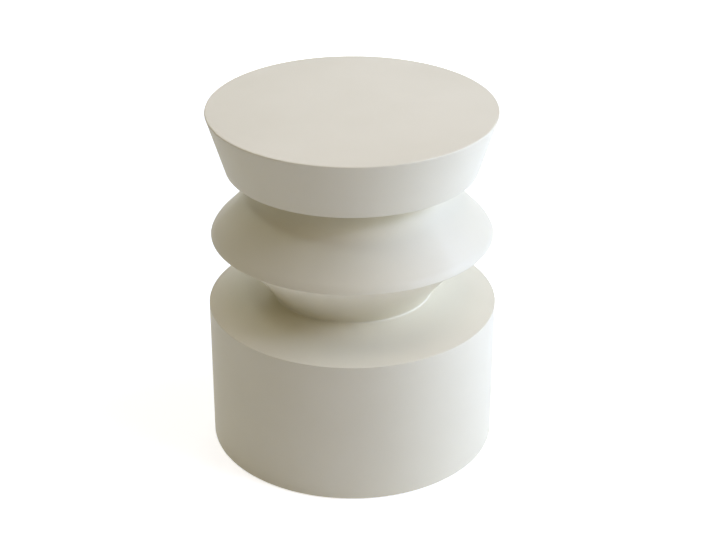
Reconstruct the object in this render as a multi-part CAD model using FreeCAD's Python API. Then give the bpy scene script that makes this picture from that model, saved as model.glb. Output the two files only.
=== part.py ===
import FreeCAD, Part
import math
import os

# Side table made of three turned forms on one upright axis: a drum base with a shallow shoulder,
# a spool that flares out to a crisp edge and tapers back in, and a top that tapers down to a
# narrow neck. The forms are hollow lacquered shells, drawn together by one tie rod.
# Lengths are in millimetres and angles in degrees.
# The origin is on the floor under the axis, and +Z is up.

# Outer form, from the floor up
glide_stand = 2.0
drum_height = 191.0
shoulder_rise = 16.0
flare_height = 81.0
upper_cone_height = 81.0
underside_rise = 11.0
top_side_height = 75.0
drum_radius = 186.0
neck_radius = 102.0
spool_radius = 180.7
upper_neck_radius = 105.0
top_foot_radius = 160.0
top_radius = 183.0
nose_radius = 35.0
cove_radius = 2.0

# Drum construction
wall_thickness = 14.0
shoulder_edge_height = 16.0
spigot_depth = 10.0
base_board_thickness = 22.0
base_recess = 6.0
post_count = 4
post_width = 50.0
post_depth = 20.0

# Spool construction
cone_wall = 24.0
bowl_floor_thickness = 20.0
web_thickness = 18.0
web_edge_cover = 23.0

# Top construction
under_board_edge_height = 18.0
top_board_thickness = 22.0
top_spigot_depth = 8.0
side_ring_wall = 16.5
spacer_count = 6
spacer_length = 60.0
spacer_width = 20.0
spacer_inset = 19.0

# Tie rod, its anchor in the top and its nut under the base
rod_radius = 6.0
rod_hole_radius = 6.8
rod_end_below_nut = 2.0
rod_end_above_flange = 2.0
nut_across_flats = 18.0
nut_height = 10.0
nut_corners = 6
washer_radius = 20.0
washer_thickness = 2.5
washer_recess_depth = 10.0
anchor_flange_radius = 32.0
anchor_flange_thickness = 5.0
anchor_barrel_radius = 11.0
anchor_barrel_depth = 30.0
anchor_screw_count = 4
anchor_screw_circle_radius = 22.0
anchor_screw_length = 25.0

# Dowels that centre one form on the next
dowel_count = 3
dowel_radius = 5.0
dowel_length = 34.0
dowel_inset = 27.0

# Screws and glides
base_screw_shank_radius = 2.5
base_screw_head_radius = 4.8
base_screw_head_depth = 3.0
base_screw_length = 55.0
small_screw_shank_radius = 2.0
small_screw_head_radius = 3.8
small_screw_head_depth = 2.4
glide_radius = 16.0
glide_inset = 34.0
glide_recess_radius = 6.0
glide_recess_depth = 4.6
glide_screw_length = 16.0

# Clearances
joint_fit = 0.2
dowel_fit = 0.1
screw_fit = 0.1
screw_clearance = 0.4
thread_fit = 0.1
end_gap = 0.5
shortest_line = 0.0001

# Angles
full_turn = 360.0
flare_start_angle = 57.5
nose_edge_angle = 24.0
post_turn = 45.0
dowel_turn = 30.0
anchor_turn = 45.0

# Levels of the outer form
drum_foot_level = glide_stand
drum_rim_level = drum_foot_level + drum_height
neck_level = drum_rim_level + shoulder_rise
spool_edge_level = neck_level + flare_height
upper_neck_level = spool_edge_level + upper_cone_height
top_rim_level = upper_neck_level + underside_rise
table_level = top_rim_level + top_side_height

# Inside the drum
wall_bore = drum_radius - wall_thickness
base_board_bottom = drum_foot_level + base_recess
base_board_top = base_board_bottom + base_board_thickness
wall_top = drum_rim_level - shoulder_edge_height
shoulder_bottom = wall_top - spigot_depth

# Levels inside the top
under_board_top = top_rim_level + under_board_edge_height
under_spigot_top = under_board_top + top_spigot_depth
top_board_bottom = table_level - top_board_thickness
top_spigot_bottom = top_board_bottom - top_spigot_depth

# The web that stiffens the spool at its widest
web_radius = spool_radius - web_edge_cover
web_bottom = spool_edge_level - web_thickness / 2
web_top = spool_edge_level + web_thickness / 2

# Levels of the tie rod's ends
washer_top = base_board_bottom + washer_recess_depth
washer_bottom = washer_top - washer_thickness
nut_bottom = washer_bottom - nut_height
rod_bottom = nut_bottom - rod_end_below_nut
flange_top = under_spigot_top + anchor_flange_thickness
rod_top = flange_top + rod_end_above_flange

origin = FreeCAD.Vector(0, 0, 0)
up = FreeCAD.Vector(0, 0, 1)


def place(radius, level):
    """Return the point of a turning profile at this radius and level."""
    return FreeCAD.Vector(radius, 0, level)


def toward(start, end):
    """Return the unit vector from start to end."""
    step = end - start
    return step / step.Length


def slanted(angle):
    """Return the unit vector that points outward and up at this angle from level, in radians."""
    return FreeCAD.Vector(math.cos(angle), 0, math.sin(angle))


def tangent_length(before, corner, after, rounding):
    """Return how far from the corner an arc of this radius touches both of its sides."""
    opening = toward(corner, before).getAngle(toward(corner, after))
    return rounding / math.tan(opening / 2)


def profile_edges(corners):
    """Return lines along an open chain of (radius, level, rounding) corners, with rounded corners as arcs."""
    points = [place(radius, level) for radius, level, rounding in corners]
    edges = []
    pen = points[0]
    for index in range(1, len(corners)):
        corner = points[index]
        rounding = corners[index][2]
        if rounding == 0:
            stop = corner
        else:
            before = points[index - 1]
            after = points[index + 1]
            reach = tangent_length(before, corner, after, rounding)
            stop = corner + toward(corner, before) * reach
            leave = corner + toward(corner, after) * reach
            inward = toward(corner, (stop + leave) / 2)
            centre_distance = math.hypot(rounding, reach)
            middle = corner + inward * (centre_distance - rounding)
        if (stop - pen).Length > shortest_line:
            edges.append(Part.LineSegment(pen, stop).toShape())
            pen = stop
        if rounding != 0:
            edges.append(Part.Arc(stop, middle, leave).toShape())
            pen = leave
    return edges


def turned(edges):
    """Revolve a closed chain of profile edges about the axis."""
    face = Part.Face(Part.Wire(edges))
    return face.revolve(origin, up, full_turn)


def turned_piece(corners):
    """Revolve a closed profile given by its corners."""
    return turned(profile_edges(corners + [corners[0]]))


def cylinder(radius, bottom, top, x=0, y=0):
    """Return an upright cylinder between two levels."""
    return Part.makeCylinder(radius, top - bottom, FreeCAD.Vector(x, y, bottom), up)


def ring_of_places(count, radius, turn):
    """Return evenly spaced (x, y) places on a circle."""
    places = []
    for index in range(count):
        angle = math.radians(turn + full_turn * index / count)
        places.append((radius * math.cos(angle), radius * math.sin(angle)))
    return places


def along_line(first, second, level):
    """Return the radius of the straight profile between two points, at this level."""
    share = (level - first.z) / (second.z - first.z)
    return first.x + (second.x - first.x) * share


# Corners of the outer form that neighbouring pieces share
drum_rim = place(drum_radius, drum_rim_level)
neck = place(neck_radius, neck_level)
spool_edge = place(spool_radius, spool_edge_level)
upper_neck = place(upper_neck_radius, upper_neck_level)
top_rim = place(top_foot_radius, top_rim_level)
table_rim = place(top_radius, table_level)


def side_radius(level):
    """Return the radius of the top's flaring side at this level."""
    return along_line(top_rim, table_rim, level)


def side_ring_bore():
    """Return the straight bore that leaves the side ring its least wall at its narrow end."""
    return min(side_radius(under_board_top), side_radius(top_board_bottom)) - side_ring_wall


def nose_centre():
    """Return the centre of the nose, whose surface leans in from upright where it meets the crisp edge."""
    return spool_edge - slanted(math.radians(nose_edge_angle)) * nose_radius


def nose_tangent():
    """Return where the upper cone runs out into the nose."""
    centre = nose_centre()
    sight = upper_neck - centre
    turn = math.acos(nose_radius / sight.Length)
    return centre + slanted(math.atan2(sight.z, sight.x) - turn) * nose_radius


def nose_arc():
    """Return the nose from the end of the upper cone down to the crisp edge."""
    start = nose_tangent()
    middle = nose_centre() + toward(nose_centre(), (start + spool_edge) / 2) * nose_radius
    return Part.Arc(start, middle, spool_edge).toShape()


def flare_start():
    """Return the direction in which the hollow flare under the spool leaves the neck."""
    return slanted(math.radians(flare_start_angle))


def lower_seat():
    """Return the edge of the flat seat where the cove of the shoulder runs out into the flare."""
    reach = tangent_length(drum_rim, neck, neck + flare_start(), cove_radius)
    return neck + flare_start() * reach


def flare_arc():
    """Return the hollow flare, an arc that leaves the seat in its first direction and ends at the edge."""
    seat = lower_seat()
    chord = spool_edge - seat
    turn = flare_start().getAngle(chord)
    depth = chord.Length / 2 * math.tan(turn / 2)
    inward = FreeCAD.Vector(-chord.z, 0, chord.x) / chord.Length
    middle = (seat + spool_edge) / 2 + inward * depth
    return Part.Arc(seat, middle, spool_edge).toShape()


def upper_seat():
    """Return the edge of the flat seat where the cove of the top runs out into the upper cone."""
    reach = tangent_length(top_rim, upper_neck, nose_tangent(), cove_radius)
    return upper_neck + toward(upper_neck, nose_tangent()) * reach


def dowel_places():
    """Return the places of the dowels that centre one form on the next, inside the narrower neck."""
    circle_radius = min(neck_radius, upper_neck_radius) - dowel_inset
    return ring_of_places(dowel_count, circle_radius, dowel_turn)


def dowel_holes(seat_level):
    """Return the dowel holes that reach both ways from a seat."""
    reach = dowel_length / 2 + end_gap
    radius = dowel_radius + dowel_fit
    return [cylinder(radius, seat_level - reach, seat_level + reach, x, y) for x, y in dowel_places()]


def dowels(seat_level):
    """Return plain dowels that stand half in one form and half in the next."""
    half = dowel_length / 2
    pins = [cylinder(dowel_radius, seat_level - half, seat_level + half, x, y) for x, y in dowel_places()]
    return Part.Compound(pins)


def post_centre_radius():
    """Return the middle of a post that stands just clear of the wall's bore."""
    outer_face = math.sqrt(wall_bore ** 2 - (post_width / 2) ** 2) - joint_fit
    return outer_face - post_depth / 2


def base_screw_places():
    """Return the places of the screws that hold the base board up, one in the middle of each post."""
    return ring_of_places(post_count, post_centre_radius(), post_turn)


def glide_places():
    """Return the places of the glides, one beside each post."""
    return ring_of_places(post_count, wall_bore - glide_inset, post_turn)


def countersunk_screw(shank_radius, head_radius, head_depth, length, level, x, y):
    """Return a screw that points up, with its flat head face at this level."""
    head = Part.makeCone(head_radius, shank_radius, head_depth, FreeCAD.Vector(x, y, level), up)
    shank = cylinder(shank_radius, level + head_depth, level + length, x, y)
    return head.fuse(shank).removeSplitter()


def drum_wall():
    """Return the bent and laminated wall of the drum, open at both ends."""
    return turned_piece([
        (wall_bore, drum_foot_level, 0),
        (drum_radius, drum_foot_level, 0),
        (drum_radius, wall_top, 0),
        (wall_bore, wall_top, 0),
    ])


def shoulder_board():
    """Return the turned board that closes the drum: rim, shallow cone, cove and flat seat."""
    seat = lower_seat()
    spigot_radius = wall_bore - joint_fit
    board = turned_piece([
        (rod_hole_radius, shoulder_bottom, 0),
        (spigot_radius, shoulder_bottom, 0),
        (spigot_radius, wall_top, 0),
        (drum_radius, wall_top, 0),
        (drum_radius, drum_rim_level, 0),
        (neck_radius, neck_level, cove_radius),
        (seat.x, seat.z, 0),
        (rod_hole_radius, seat.z, 0),
    ])
    return board.cut(dowel_holes(seat.z))


def drum_posts():
    """Return the posts that carry the load from the shoulder board down to the base board."""
    posts = []
    holes = base_screw_pilots()
    inner_face = post_centre_radius() - post_depth / 2
    height = shoulder_bottom - base_board_top
    for index in range(post_count):
        corner = FreeCAD.Vector(inner_face, -post_width / 2, base_board_top)
        post = Part.makeBox(post_depth, post_width, height, corner)
        post.rotate(origin, up, post_turn + full_turn * index / post_count)
        posts.append(post.cut(holes))
    return Part.Compound(posts)


def base_screw_pilots():
    """Return the pilot holes in the posts."""
    radius = base_screw_shank_radius + screw_fit
    top = base_board_bottom + base_screw_length + end_gap
    return [cylinder(radius, base_board_top - end_gap, top, x, y) for x, y in base_screw_places()]


def base_screw_holes():
    """Return the countersunk clearance holes in the base board."""
    holes = []
    for x, y in base_screw_places():
        hole = cylinder(base_screw_shank_radius + screw_clearance, base_board_bottom, base_board_top, x, y)
        sink = Part.makeCone(
            base_screw_head_radius + screw_clearance,
            base_screw_shank_radius + screw_clearance,
            base_screw_head_depth,
            FreeCAD.Vector(x, y, base_board_bottom),
            up,
        )
        holes.append(hole.fuse(sink))
    return holes


def glide_screw_pilots():
    """Return the blind pilot holes for the glide screws."""
    radius = small_screw_shank_radius + screw_fit
    top = glide_recess_depth + glide_screw_length - small_screw_head_depth + end_gap
    return [cylinder(radius, base_board_bottom, top, x, y) for x, y in glide_places()]


def base_board():
    """Return the round board that closes the drum from below, set up inside the wall."""
    board = turned_piece([
        (rod_hole_radius, washer_top, 0),
        (washer_radius + joint_fit, washer_top, 0),
        (washer_radius + joint_fit, base_board_bottom, 0),
        (wall_bore - joint_fit, base_board_bottom, 0),
        (wall_bore - joint_fit, base_board_top, 0),
        (rod_hole_radius, base_board_top, 0),
    ])
    return board.cut(base_screw_holes() + glide_screw_pilots())


def base_screws():
    """Return the countersunk screws that hold the base board to the posts."""
    screws = []
    for x, y in base_screw_places():
        screws.append(countersunk_screw(
            base_screw_shank_radius,
            base_screw_head_radius,
            base_screw_head_depth,
            base_screw_length,
            base_board_bottom,
            x,
            y,
        ))
    return Part.Compound(screws)


def glides():
    """Return the round glides that the table stands on, each with a recess for its screw's head."""
    pads = []
    for x, y in glide_places():
        pad = turned_piece([
            (small_screw_shank_radius + screw_clearance, glide_recess_depth, 0),
            (glide_recess_radius, glide_recess_depth, 0),
            (glide_recess_radius, 0, 0),
            (glide_radius, 0, 0),
            (glide_radius, base_board_bottom, 0),
            (small_screw_shank_radius + screw_clearance, base_board_bottom, 0),
        ])
        pad.translate(FreeCAD.Vector(x, y, 0))
        pads.append(pad)
    return Part.Compound(pads)


def glide_screws():
    """Return the pan-head screws that hold the glides, heads up in their recesses."""
    screws = []
    head_bottom = glide_recess_depth - small_screw_head_depth
    for x, y in glide_places():
        head = cylinder(small_screw_head_radius, head_bottom, glide_recess_depth, x, y)
        shank = cylinder(small_screw_shank_radius, head_bottom, head_bottom + glide_screw_length, x, y)
        screws.append(head.fuse(shank).removeSplitter())
    return Part.Compound(screws)


def spool_lower():
    """Return the lower bowl of the spool: flared outside, coned inside, and rebated for the web."""
    seat = lower_seat()
    floor_top = seat.z + bowl_floor_thickness
    inside = profile_edges([
        (spool_radius, spool_edge_level, 0),
        (web_radius + joint_fit, spool_edge_level, 0),
        (web_radius + joint_fit, web_bottom, 0),
        (along_line(neck, spool_edge, web_bottom) - cone_wall, web_bottom, 0),
        (along_line(neck, spool_edge, floor_top) - cone_wall, floor_top, 0),
        (rod_hole_radius, floor_top, 0),
        (rod_hole_radius, seat.z, 0),
        (seat.x, seat.z, 0),
    ])
    return turned(inside + [flare_arc()]).cut(dowel_holes(seat.z))


def spool_web():
    """Return the disc that keeps the spool round and centres the rod halfway up."""
    return turned_piece([
        (rod_hole_radius, web_bottom, 0),
        (web_radius, web_bottom, 0),
        (web_radius, web_top, 0),
        (rod_hole_radius, web_top, 0),
    ])


def spool_upper():
    """Return the upper bowl of the spool, mouth down: round nose, cone wall and flat floor at the neck."""
    seat = upper_seat()
    tangent = nose_tangent()
    floor_bottom = seat.z - bowl_floor_thickness
    inside = profile_edges([
        (spool_radius, spool_edge_level, 0),
        (web_radius + joint_fit, spool_edge_level, 0),
        (web_radius + joint_fit, web_top, 0),
        (along_line(upper_neck, tangent, web_top) - cone_wall, web_top, 0),
        (along_line(upper_neck, tangent, floor_bottom) - cone_wall, floor_bottom, 0),
        (rod_hole_radius, floor_bottom, 0),
        (rod_hole_radius, seat.z, 0),
        (seat.x, seat.z, 0),
        (tangent.x, tangent.z, 0),
    ])
    return turned(inside + [nose_arc()]).cut(dowel_holes(seat.z))


def anchor_screw_places():
    """Return the places of the screws that hold the rod's anchor."""
    return ring_of_places(anchor_screw_count, anchor_screw_circle_radius, anchor_turn)


def top_under_board():
    """Return the turned board under the top: flat seat, cove, shallow cone and the foot of the side."""
    seat = upper_seat()
    barrel_bore = anchor_barrel_radius + joint_fit
    barrel_floor = under_spigot_top - anchor_barrel_depth - end_gap
    spigot_radius = side_ring_bore() - joint_fit
    board = turned_piece([
        (rod_hole_radius, seat.z, 0),
        (seat.x, seat.z, 0),
        (upper_neck_radius, upper_neck_level, cove_radius),
        (top_foot_radius, top_rim_level, 0),
        (side_radius(under_board_top), under_board_top, 0),
        (spigot_radius, under_board_top, 0),
        (spigot_radius, under_spigot_top, 0),
        (barrel_bore, under_spigot_top, 0),
        (barrel_bore, barrel_floor, 0),
        (rod_hole_radius, barrel_floor, 0),
    ])
    pilots = []
    pilot_bottom = flange_top - anchor_screw_length - end_gap
    for x, y in anchor_screw_places():
        radius = small_screw_shank_radius + screw_fit
        pilots.append(cylinder(radius, pilot_bottom, under_spigot_top, x, y))
    return board.cut(dowel_holes(seat.z) + pilots)


def top_side_ring():
    """Return the flaring side of the top between its two boards, bored straight."""
    return turned_piece([
        (side_ring_bore(), under_board_top, 0),
        (side_radius(under_board_top), under_board_top, 0),
        (side_radius(top_board_bottom), top_board_bottom, 0),
        (side_ring_bore(), top_board_bottom, 0),
    ])


def top_board():
    """Return the round board that is the table's surface, with a spigot below."""
    spigot_radius = side_ring_bore() - joint_fit
    return turned_piece([
        (0, top_spigot_bottom, 0),
        (spigot_radius, top_spigot_bottom, 0),
        (spigot_radius, top_board_bottom, 0),
        (side_radius(top_board_bottom), top_board_bottom, 0),
        (top_radius, table_level, 0),
        (0, table_level, 0),
    ])


def top_spacers():
    """Return the radial blocks that carry the surface board above the under board."""
    blocks = []
    height = top_spigot_bottom - under_spigot_top
    inner_end = side_ring_bore() - spacer_inset - spacer_length
    for index in range(spacer_count):
        corner = FreeCAD.Vector(inner_end, -spacer_width / 2, under_spigot_top)
        block = Part.makeBox(spacer_length, spacer_width, height, corner)
        block.rotate(origin, up, full_turn * index / spacer_count)
        blocks.append(block)
    return Part.Compound(blocks)


def rod_anchor():
    """Return the flanged steel anchor that the rod screws into, with its barrel down in the under board."""
    anchor = turned_piece([
        (rod_radius + thread_fit, under_spigot_top - anchor_barrel_depth, 0),
        (anchor_barrel_radius, under_spigot_top - anchor_barrel_depth, 0),
        (anchor_barrel_radius, under_spigot_top, 0),
        (anchor_flange_radius, under_spigot_top, 0),
        (anchor_flange_radius, flange_top, 0),
        (rod_radius + thread_fit, flange_top, 0),
    ])
    holes = []
    for x, y in anchor_screw_places():
        radius = small_screw_shank_radius + screw_clearance
        holes.append(cylinder(radius, under_spigot_top, flange_top, x, y))
    return anchor.cut(holes)


def anchor_screws():
    """Return the pan-head screws that hold the anchor down on the under board."""
    screws = []
    shank_bottom = flange_top - anchor_screw_length
    head_top = flange_top + small_screw_head_depth
    for x, y in anchor_screw_places():
        head = cylinder(small_screw_head_radius, flange_top, head_top, x, y)
        shank = cylinder(small_screw_shank_radius, shank_bottom, head_top, x, y)
        screws.append(head.fuse(shank).removeSplitter())
    return Part.Compound(screws)


def tie_rod():
    """Return the rod that draws the three forms together."""
    return cylinder(rod_radius, rod_bottom, rod_top)


def rod_washer():
    """Return the wide washer that bears on the base board."""
    return cylinder(washer_radius, washer_bottom, washer_top).cut(
        cylinder(rod_hole_radius, washer_bottom, washer_top))


def rod_nut():
    """Return the hexagon nut under the washer."""
    corner_radius = nut_across_flats / 2 / math.cos(math.pi / nut_corners)
    corners = ring_of_places(nut_corners, corner_radius, 0)
    points = [FreeCAD.Vector(x, y, nut_bottom) for x, y in corners + [corners[0]]]
    nut = Part.Face(Part.makePolygon(points)).extrude(up * nut_height)
    return nut.cut(cylinder(rod_radius + thread_fit, nut_bottom, washer_bottom))


def main():
    """Write every piece to its own file."""
    pieces = {
        "top_board": top_board(),
        "top_side_ring": top_side_ring(),
        "top_spacers": top_spacers(),
        "top_under_board": top_under_board(),
        "rod_anchor": rod_anchor(),
        "anchor_screws": anchor_screws(),
        "top_dowels": dowels(upper_seat().z),
        "spool_upper": spool_upper(),
        "spool_web": spool_web(),
        "spool_lower": spool_lower(),
        "base_dowels": dowels(lower_seat().z),
        "shoulder_board": shoulder_board(),
        "drum_wall": drum_wall(),
        "drum_posts": drum_posts(),
        "base_board": base_board(),
        "base_screws": base_screws(),
        "glides": glides(),
        "glide_screws": glide_screws(),
        "tie_rod": tie_rod(),
        "rod_washer": rod_washer(),
        "rod_nut": rod_nut(),
    }
    os.makedirs("parts", exist_ok=True)
    for name, shape in pieces.items():
        shape.exportStep("parts/" + name + ".step")
        print(name, "solids", len(shape.Solids), "valid", shape.isValid(), "volume", round(shape.Volume))


if __name__ == "__main__":
    main()
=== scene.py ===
import math

import bmesh
import bpy
from mathutils import Matrix, Vector


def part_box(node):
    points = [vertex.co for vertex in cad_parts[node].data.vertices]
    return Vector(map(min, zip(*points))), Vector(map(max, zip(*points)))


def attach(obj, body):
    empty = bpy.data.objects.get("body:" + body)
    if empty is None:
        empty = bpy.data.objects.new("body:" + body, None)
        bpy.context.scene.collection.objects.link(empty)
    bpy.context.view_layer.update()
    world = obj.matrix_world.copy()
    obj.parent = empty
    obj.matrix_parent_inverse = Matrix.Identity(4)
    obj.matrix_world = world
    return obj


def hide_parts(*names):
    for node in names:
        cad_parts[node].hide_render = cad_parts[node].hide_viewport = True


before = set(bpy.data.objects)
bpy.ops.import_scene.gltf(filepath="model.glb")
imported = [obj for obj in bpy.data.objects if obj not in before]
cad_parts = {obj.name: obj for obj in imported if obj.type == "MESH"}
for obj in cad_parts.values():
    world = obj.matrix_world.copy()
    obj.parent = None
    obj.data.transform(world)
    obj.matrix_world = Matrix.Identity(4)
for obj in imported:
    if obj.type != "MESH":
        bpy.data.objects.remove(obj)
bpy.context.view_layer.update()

bl_info = {
    "name": "Turned Side Table",
    "version": (1, 0, 0),
    "blender": (4, 5, 0),
    "location": "View3D > Sidebar > Side Table",
    "description": "Dresses a side table of three turned, lacquered forms and lights it in a plain studio",
    "category": "Object",
}

# One millimetre in scene units, for the sizes of small hardware
MM = 0.001

# Points of a turned shape closer than this are one point
MERGE = 0.001 * MM

# Steps in a full turn of small hardware, of screws and of holes, and in the arcs of their corners
HARDWARE_TURN = 96
SCREW_TURN = 48
HOLE_TURN = 32
HARDWARE_ARC = 6

# Centring dowels: how many, the first one's bearing, and the holes' clearance around and beyond them
DOWEL_COUNT = 3
DOWEL_BEARING = math.radians(30.0)
DOWEL_PLAY = 0.1 * MM
DEPTH_PLAY = 0.5 * MM

# Glides: their radius, screw hole and screw recess, and the rounding of each edge
GLIDE_RADIUS = 16 * MM
GLIDE_HOLE = 2.4 * MM
GLIDE_RECESS_RADIUS = 6 * MM
GLIDE_RECESS_HEIGHT = 4.6 * MM
GLIDE_MOUTH_ROUNDING = 0.6 * MM
GLIDE_FOOT_ROUNDING = 1.6 * MM
GLIDE_TOP_ROUNDING = 0.3 * MM

# Pan-head screws that hold the glides. A recess has the width, length and depth of its slots
PAN_HEAD_RADIUS = 3.8 * MM
PAN_HEAD_HEIGHT = 2.4 * MM
PAN_HEAD_ROUNDING = 1.5 * MM
PAN_SHANK_RADIUS = 2 * MM
PAN_POINT = 3 * MM
PAN_RECESS = (0.8 * MM, 4.2 * MM, 1.5 * MM)

# Countersunk screws that hold the base board
FLAT_HEAD_RADIUS = 4.8 * MM
FLAT_HEAD_HEIGHT = 3 * MM
FLAT_HEAD_ROUNDING = 0.2 * MM
FLAT_SHANK_RADIUS = 2.5 * MM
FLAT_POINT = 5 * MM
FLAT_RECESS = (1.0 * MM, 5.4 * MM, 2.4 * MM)

# Shares of a recess: how far the cutter stands out of the head, and its size at the bottom
RECESS_OVERRUN_SHARE = 0.2
RECESS_BOTTOM_SHARES = (0.4, 0.8, 1.0)

# Rod nut: clearance on the rod, the bore's chamfer, and the chamfer that takes the hexagon's corners
NUT_BORE_PLAY = 0.1 * MM
NUT_BORE_CHAMFER = 0.6 * MM
NUT_FACE_RADIUS = 8.5 * MM
NUT_CORNER_CHAMFER = 1.25 * MM
NUT_CORNER_PLAY = 0.3 * MM
NUT_HEXAGON_SHARE = 1.5

# Plating colours, bright and dull, and the rod's thread
ZINC = ((0.66, 0.67, 0.68), (0.56, 0.57, 0.585))
YELLOW_ZINC = ((0.66, 0.585, 0.36), (0.58, 0.49, 0.30))
THREAD_PITCH = 1.75 * MM
THREAD_DEPTH = 1.2 * MM

WHITE = (1.0, 1.0, 1.0, 1.0)

# Kinds of socket in the shared groups
VECTOR = "NodeSocketVector"
FLOAT = "NodeSocketFloat"
COLOUR = "NodeSocketColor"

# Soft lamps: name, bearing from the camera's side, height above the horizon, width, watts, colour
LAMPS = [
    ("Left rear", -150.0, 25.0, 1.0, 2.5, (1.0, 0.989, 0.789)),
    ("Low left", -90.0, 8.0, 1.0, 2.7, (1.0, 0.909, 0.327)),
    ("High front", 0.0, 45.0, 1.0, 3.3, (1.0, 0.606, 0.0)),
    ("Right front", 60.0, 25.0, 1.0, 18.3, (0.776, 0.859, 1.0)),
    ("Right", 90.0, 25.0, 1.0, 39.2, (0.6, 0.733, 1.0)),
    ("High right", 90.0, 65.0, 1.0, 6.5, (1.0, 0.872, 0.702)),
    ("Right rear", 108.0, 25.0, 1.0, 9.1, (0.404, 0.512, 1.0)),
    ("Low back", 180.0, 8.0, 1.0, 18.1, (0.889, 0.952, 1.0)),
    ("Overhead", 0.0, 88.0, 2.0, 19.5, (0.968, 0.914, 1.0)),
    ("Small high left", -90.0, 58.0, 0.35, 2.1, (0.935, 0.938, 1.0)),
    ("Small high left front", -60.0, 58.0, 0.35, 3.4, (0.913, 1.0, 0.992)),
    ("Small right front", 60.0, 35.0, 0.35, 7.4, (0.511, 0.582, 1.0)),
]
# How far every lamp hangs from the table's middle
LAMP_DISTANCE = 2.6
# The camera's sensor, in millimetres
SENSOR_WIDTH = 36.0


class TableForm(bpy.types.PropertyGroup):
    """Sizes of the turned form that the frame's boxes don't give."""

    shoulder_edge: bpy.props.FloatProperty(
        name="Shoulder edge", description="Upright edge of the shoulder board", default=0.016, unit="LENGTH")
    shoulder_rise: bpy.props.FloatProperty(
        name="Shoulder rise", description="Rise from the drum's rim to the lower neck", default=0.016,
        unit="LENGTH")
    neck_radius: bpy.props.FloatProperty(
        name="Lower neck", description="Radius where shoulder and spool meet", default=0.102, unit="LENGTH")
    upper_neck_radius: bpy.props.FloatProperty(
        name="Upper neck", description="Radius where spool and top meet", default=0.105, unit="LENGTH")
    underside_rise: bpy.props.FloatProperty(
        name="Underside rise", description="Rise from the upper neck to the top's foot", default=0.011,
        unit="LENGTH")
    top_edge: bpy.props.FloatProperty(
        name="Under board edge", description="Height of the under board's outer edge", default=0.018,
        unit="LENGTH")
    top_foot_radius: bpy.props.FloatProperty(
        name="Top foot", description="Radius of the top's crisp lower edge", default=0.160, unit="LENGTH")
    nose_radius: bpy.props.FloatProperty(
        name="Nose", description="Radius of the spool's round nose", default=0.035, unit="LENGTH")
    nose_edge_angle: bpy.props.FloatProperty(
        name="Nose at edge", description="How far the nose leans in from upright at the crisp edge",
        default=math.radians(24.0), subtype="ANGLE")
    flare_start_angle: bpy.props.FloatProperty(
        name="Flare at neck", description="Slope in which the hollow flare under the spool leaves the neck",
        default=math.radians(57.5), subtype="ANGLE")
    cone_wall: bpy.props.FloatProperty(
        name="Cone wall", description="Wall of the spool's bowls, measured level", default=0.024,
        unit="LENGTH")
    bowl_floor: bpy.props.FloatProperty(
        name="Bowl floor", description="Floor thickness of the spool's bowls", default=0.020, unit="LENGTH")
    side_ring_wall: bpy.props.FloatProperty(
        name="Side ring wall", description="Least wall of the top's side ring", default=0.0165, unit="LENGTH")
    rod_hole_radius: bpy.props.FloatProperty(
        name="Rod hole", description="Radius of the holes that the tie rod passes", default=0.0068,
        unit="LENGTH")
    barrel_radius: bpy.props.FloatProperty(
        name="Anchor barrel", description="Radius of the rod anchor's barrel", default=0.011, unit="LENGTH")
    dowel_radius: bpy.props.FloatProperty(
        name="Dowel", description="Radius of the centring dowels", default=0.005, unit="LENGTH")
    joint_fit: bpy.props.FloatProperty(
        name="Joint fit", description="Clearance of spigots and rebates", default=0.0002, unit="LENGTH",
        precision=5)
    table_arris: bpy.props.FloatProperty(
        name="Table arris", description="Rounding of the surface's rim", default=0.0015, unit="LENGTH",
        precision=5)
    crisp_arris: bpy.props.FloatProperty(
        name="Crisp arris", description="Rounding that lacquer gives the sharp edges", default=0.0007,
        unit="LENGTH", precision=5)
    arc_steps: bpy.props.IntProperty(
        name="Arc steps", description="Steps in each rounded corner", default=12, min=2)
    turn_steps: bpy.props.IntProperty(
        name="Turn steps", description="Steps in a full turn", default=240, min=24)
    sharp_angle: bpy.props.FloatProperty(
        name="Sharp angle", description="Edges that turn more than this stay crisp",
        default=math.radians(30.0), subtype="ANGLE")


class LacquerFinish(bpy.types.PropertyGroup):
    """The satin lacquer on every turned piece."""

    colour: bpy.props.FloatVectorProperty(
        name="Colour", description="Warm off-white", subtype="COLOR", size=3, default=(0.790, 0.736, 0.573),
        min=0.0, max=1.0)
    thick_colour: bpy.props.FloatVectorProperty(
        name="Thick colour", description="Colour where the film lies a little thicker", subtype="COLOR",
        size=3, default=(0.771, 0.718, 0.556), min=0.0, max=1.0)
    roughness: bpy.props.FloatProperty(
        name="Roughness", description="Roughness of the satin film", default=0.57, min=0.0, max=1.0,
        subtype="FACTOR")
    roughness_drift: bpy.props.FloatProperty(
        name="Roughness drift", description="How far the roughness drifts either way", default=0.03, min=0.0,
        max=1.0, subtype="FACTOR")
    peel_height: bpy.props.FloatProperty(
        name="Peel height", description="Height of the sprayed film's fine waves", default=0.000010,
        unit="LENGTH", precision=6)
    coat: bpy.props.FloatProperty(
        name="Coat", description="Weight of the clear top coat", default=0.08, min=0.0, max=1.0,
        subtype="FACTOR")


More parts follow.
